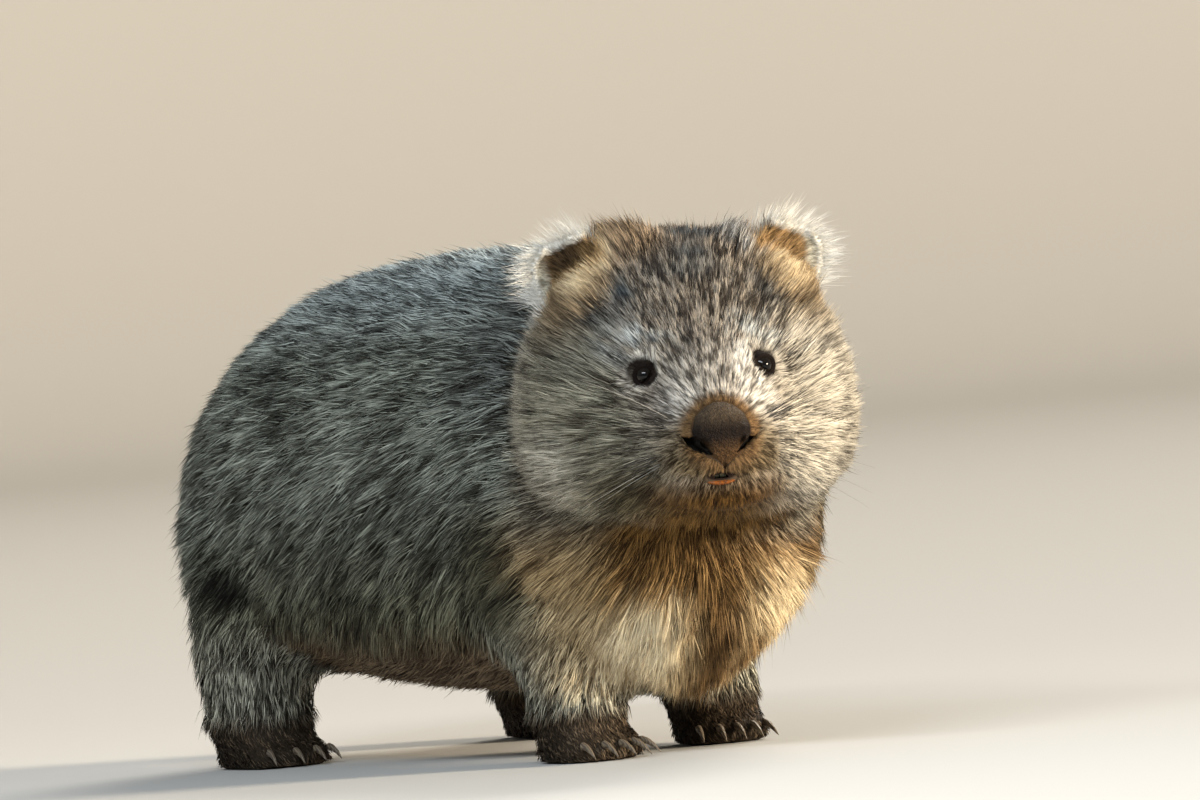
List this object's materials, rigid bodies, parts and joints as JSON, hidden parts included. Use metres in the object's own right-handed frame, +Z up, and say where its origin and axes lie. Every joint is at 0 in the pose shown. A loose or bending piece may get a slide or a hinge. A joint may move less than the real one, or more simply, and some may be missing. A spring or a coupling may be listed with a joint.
{
  "type": "bare-nosed wombat, standing still model",
  "caption": "Life-size still model of a bare-nosed wombat standing with its head turned a little to its right, parted into head, trunk, legs, ears, eyes and claws.",
  "frame": {"origin": "centre of the model's footprint on the floor, under the soles of its feet", "axes": "+Z up, the body lies along Y with the head at -Y, the animal's right side at -X"},
  "size_m": [0.3614, 0.8842, 0.3926],
  "materials": {
    "coat": "long grey-brown agouti fur over skin",
    "nose": "bare pebbled skin, slightly moist",
    "eye": "wet gloss, nearly black",
    "claw": "worn dark horn",
    "tooth": "stained enamel"
  },
  "bodies": {
    "root": {"belly": "coat", "ear_left": "coat", "ear_right": "coat", "eye_left": "eye", "eye_right": "eye", "front_claw_left_1": "claw", "front_claw_left_2": "claw", "front_claw_left_3": "claw", "front_claw_left_4": "claw", "front_claw_left_5": "claw", "front_claw_right_1": "claw", "front_claw_right_2": "claw", "front_claw_right_3": "claw", "front_claw_right_4": "claw", "front_claw_right_5": "claw", "front_foot_left": "coat", "front_foot_right": "coat", "front_leg_left": "coat", "front_leg_right": "coat", "head": "coat", "hind_claw_left_1": "claw", "hind_claw_left_2": "claw", "hind_claw_left_3": "claw", "hind_claw_left_4": "claw", "hind_claw_right_1": "claw", "hind_claw_right_2": "claw", "hind_claw_right_3": "claw", "hind_claw_right_4": "claw", "hind_foot_left": "coat", "hind_foot_right": "coat", "hind_leg_left": "coat", "hind_leg_right": "coat", "lower_incisor_left": "tooth", "lower_incisor_right": "tooth", "lower_jaw": "coat", "neck": "coat", "nose": "nose", "rump": "coat", "shoulders": "coat", "tail": "coat", "upper_incisor_left": "tooth", "upper_incisor_right": "tooth"}
  },
  "joints": []
}
